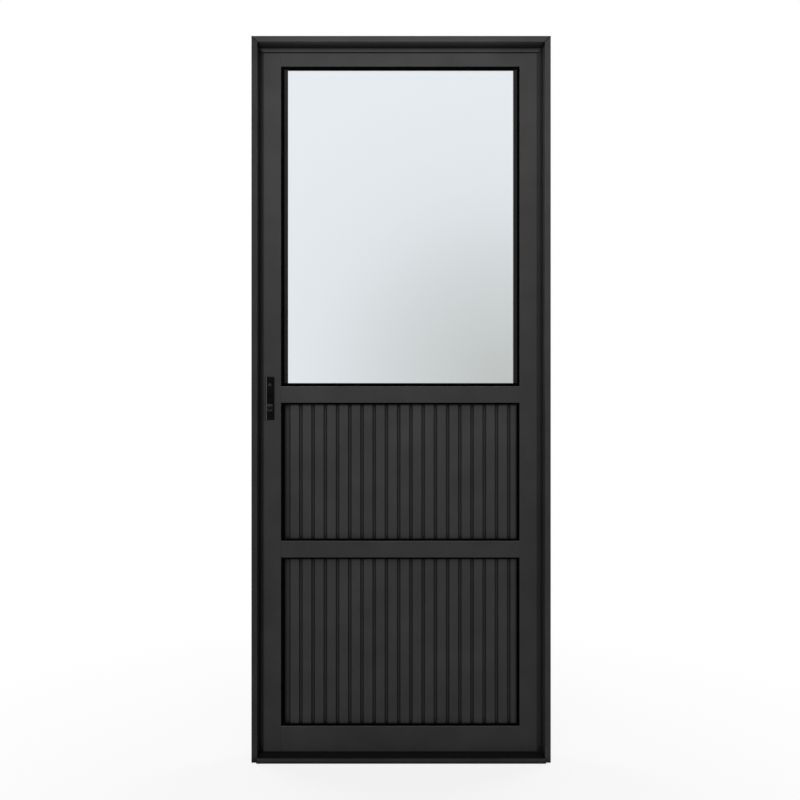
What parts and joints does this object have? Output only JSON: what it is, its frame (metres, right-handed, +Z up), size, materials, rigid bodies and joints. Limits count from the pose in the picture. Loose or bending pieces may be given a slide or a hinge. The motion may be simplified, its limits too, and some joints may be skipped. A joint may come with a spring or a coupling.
{
  "type": "glass door",
  "caption": "Black aluminium entrance door in its frame: a glass light over slatted panels, with a thumb-slide lock and back hinges.",
  "frame": {"origin": "middle of the sill underside, half way through the frame depth", "axes": "+X to the right seen from the front, +Y from the front to the back, +Z up"},
  "size_m": [0.864, 0.0909, 2.1],
  "materials": {
    "frame_coat": "matte black powder coat on extruded profiles",
    "leaf_coat": "matte black powder coat on extruded profiles",
    "slat_coat": "matte black powder coat on slatted planks",
    "black_rubber": "matte black gasket rubber",
    "clear_glass": "clear float glass",
    "lock_black": "satin black moulding",
    "black_nylon": "matte black moulding",
    "hinge_black": "satin black paint on steel",
    "bare_aluminium": "mill finish",
    "plated_steel": "zinc plated steel"
  },
  "bodies": {
    "frame": {"left_jamb": "frame_coat", "right_jamb": "frame_coat", "head": "frame_coat", "sill": "frame_coat", "corner_cleats": "bare_aluminium", "sill_screws": "plated_steel", "left_stop_seal": "black_rubber", "right_stop_seal": "black_rubber", "head_stop_seal": "black_rubber", "sill_seal": "black_rubber", "strike_plate": "plated_steel", "strike_screws": "plated_steel", "bottom_hinge_frame_plate": "hinge_black", "middle_hinge_frame_plate": "hinge_black", "top_hinge_frame_plate": "hinge_black", "hinge_pins": "hinge_black", "hinge_frame_screws": "plated_steel"},
    "leaf": {"bottom_hinge_leaf_plate": "hinge_black", "bottom_rail": "leaf_coat", "edge_faceplate": "plated_steel", "faceplate_screws": "plated_steel", "glass_gasket": "black_rubber", "glass_pane": "clear_glass", "hinge_leaf_screws": "plated_steel", "hinge_stile": "leaf_coat", "left_glazing_bead": "leaf_coat", "lock_case": "plated_steel", "lock_plate": "lock_black", "lock_rail": "leaf_coat", "lock_stile": "leaf_coat", "lower_cut_plank": "slat_coat", "lower_panel_gasket": "black_rubber", "lower_plank_1": "slat_coat", "lower_plank_2": "slat_coat", "lower_plank_3": "slat_coat", "lower_plank_4": "slat_coat", "lower_plank_5": "slat_coat", "lower_plank_6": "slat_coat", "lower_rail": "leaf_coat", "lower_starter_strip": "slat_coat", "middle_hinge_leaf_plate": "hinge_black", "rail_screws": "plated_steel", "right_glazing_bead": "leaf_coat", "setting_blocks": "black_nylon", "stile_caps": "black_nylon", "top_hinge_leaf_plate": "hinge_black", "top_rail": "leaf_coat", "upper_cut_plank": "slat_coat", "upper_panel_gasket": "black_rubber", "upper_plank_1": "slat_coat", "upper_plank_2": "slat_coat", "upper_plank_3": "slat_coat", "upper_plank_4": "slat_coat", "upper_plank_5": "slat_coat", "upper_plank_6": "slat_coat", "upper_starter_strip": "slat_coat"},
    "thumb_slider": {"thumb_slider": "lock_black"},
    "bell_crank": {"bell_crank": "plated_steel"},
    "dead_bolt": {"dead_bolt": "plated_steel"}
  },
  "joints": [
    {"name": "leaf_swing", "type": "hinge", "parent": "frame", "child": "leaf", "pos_m": [0.41325, 0.0457, 1.05], "axis": [0, 0, -1], "range_deg": [0, 110]},
    {"name": "slider_slide", "type": "slide", "parent": "leaf", "child": "thumb_slider", "axis": [0, 0, 1], "range_m": [0, 0.012]},
    {"name": "crank_turn", "type": "hinge", "parent": "leaf", "child": "bell_crank", "pos_m": [-0.3741, 0.0252, 1.033], "axis": [0, 1, 0], "range_deg": [0, 50.8]},
    {"name": "bolt_slide", "type": "slide", "parent": "leaf", "child": "dead_bolt", "axis": [-1, 0, 0], "range_m": [0, 0.012]}
  ],
  "couplings": [
    {"joint": "crank_turn", "follows": "slider_slide", "rad_per_m": 73.819},
    {"joint": "bolt_slide", "follows": "slider_slide", "ratio": 1}
  ]
}
